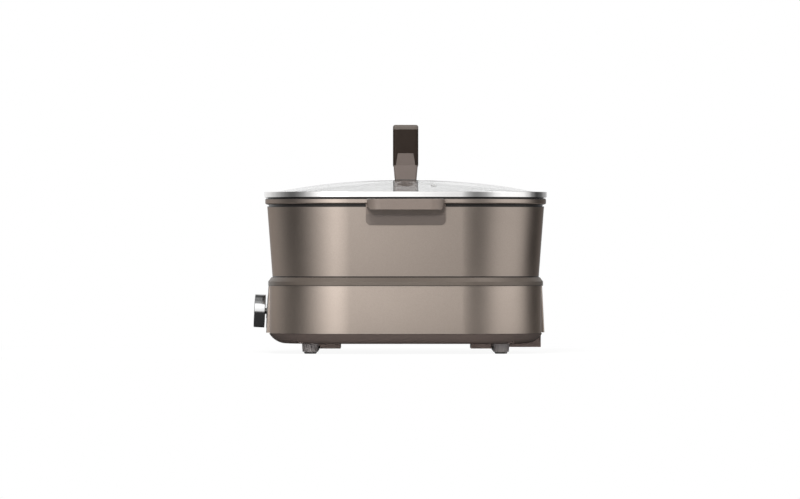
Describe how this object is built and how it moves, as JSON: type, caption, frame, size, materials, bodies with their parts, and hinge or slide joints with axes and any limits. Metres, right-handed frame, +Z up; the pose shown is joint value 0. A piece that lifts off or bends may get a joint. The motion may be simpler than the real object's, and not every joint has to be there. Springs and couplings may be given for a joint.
{
  "type": "electric hot pot",
  "caption": "Rounded-rectangular electric hot pot: heated base with rotary control, lift-out coated pot with side grips, and domed glass lid with steel rim and arched handle.",
  "frame": {"origin": "on the table, under the middle of the whole object's box", "axes": "+Z up; +X along the long side, towards the right grip as seen by someone facing the control knob; the knob faces -Y and the mains inlet +Y"},
  "size_m": [0.426, 0.295, 0.2289],
  "materials": {
    "bezel_chrome": "polished",
    "bush_ceramic": "glazed ceramic",
    "cover_plastic": "moulded, dark brown, fine texture",
    "dark_plastic": "moulded, black",
    "deck_plastic": "moulded, metallic grey-brown, satin",
    "foot_plastic": "moulded, mid grey, fine texture",
    "foot_rubber": "matt",
    "grip_plastic": "moulded, metallic grey-brown, satin",
    "handle_dark": "moulded, dark brown, satin",
    "handle_taupe": "warm grey-brown metallic paint",
    "heater_sheath": "darkened by heat",
    "knob_chrome": "polished",
    "knob_metal": "spun, fine rings",
    "lamp_lens": "translucent amber",
    "lid_glass": "clear tempered glass",
    "panel_paint": "warm grey-brown metallic paint, satin",
    "pin_metal": "nickel-plated",
    "pot_coating": "warm grey-brown metallic coat outside, dark non-stick inside",
    "rim_steel": "polished stainless steel",
    "screw_steel": "plated steel",
    "sensor_aluminium": "turned",
    "shaft_steel": "turned",
    "shell_paint": "warm grey-brown metallic paint, satin",
    "silicone": "heat-proof silicone",
    "spring_steel": "spring steel",
    "terminal_brass": "tinned",
    "tray_steel": "bright pressed sheet",
    "wire_blue": "silicone sleeved wire",
    "wire_green": "silicone sleeved wire",
    "wire_red": "silicone sleeved wire"
  },
  "bodies": {
    "base": {"base_shell": "shell_paint", "top_deck": "deck_plastic", "bottom_cover": "cover_plastic", "feet": "foot_plastic", "foot_pads": "foot_rubber", "cover_screws": "screw_steel", "reflector_tray": "tray_steel", "tray_screws": "screw_steel", "heating_tube": "heater_sheath", "heater_bushes": "bush_ceramic", "heater_tabs": "terminal_brass", "heater_saddles": "tray_steel", "thermal_cutout": "dark_plastic", "cutout_screws": "screw_steel", "seat_pads": "silicone", "sensor_cup": "tray_steel", "sensor_spring": "spring_steel", "front_panel": "panel_paint", "rear_panel": "panel_paint", "knob_bezel": "bezel_chrome", "indicator_lens": "lamp_lens", "lamp_holder": "dark_plastic", "control_body": "dark_plastic", "control_nut": "shaft_steel", "inlet_socket": "dark_plastic", "inlet_pins": "pin_metal", "inlet_screws": "screw_steel", "earth_tab": "terminal_brass", "live_wires": "wire_red", "neutral_wire": "wire_blue", "earth_wire": "wire_green"},
    "knob": {"knob_ring": "knob_chrome", "knob_face": "knob_metal", "knob_core": "dark_plastic", "control_shaft": "shaft_steel"},
    "sensor": {"sensor_cap": "sensor_aluminium", "stem_clip": "spring_steel"},
    "pot": {"pot_body": "pot_coating", "pot_grip_right": "grip_plastic", "pot_grip_left": "grip_plastic", "grip_screws": "screw_steel"},
    "lid": {"lid_glass": "lid_glass", "lid_rim": "rim_steel", "handle_grip": "handle_dark", "handle_foot_right": "handle_taupe", "handle_foot_left": "handle_taupe", "handle_cap": "handle_taupe", "handle_gaskets": "silicone", "handle_washers": "screw_steel", "handle_screws": "screw_steel", "vent_eyelet": "rim_steel"}
  },
  "joints": [
    {"name": "knob_turn", "type": "hinge", "parent": "base", "child": "knob", "pos_m": [0, -0.13245, 0.0414], "axis": [0, 0.9988, -0.0489], "range_deg": [0, 270]},
    {"name": "sensor_slide", "type": "slide", "parent": "base", "child": "sensor", "axis": [0, 0, 1], "range_m": [0, 0.003], "stiffness_N_per_m": 300, "springref_m": 0.005, "deforming": ["sensor_spring"]},
    {"name": "pot_lift", "type": "slide", "parent": "base", "child": "pot", "axis": [0, 0, 1], "range_m": [0, 0.12]},
    {"name": "lid_lift", "type": "slide", "parent": "pot", "child": "lid", "axis": [0, 0, 1], "range_m": [0, 0.12]}
  ],
  "couplings": [
    {"joint": "sensor_slide", "follows": "pot_lift", "ratio": 0.025}
  ]
}
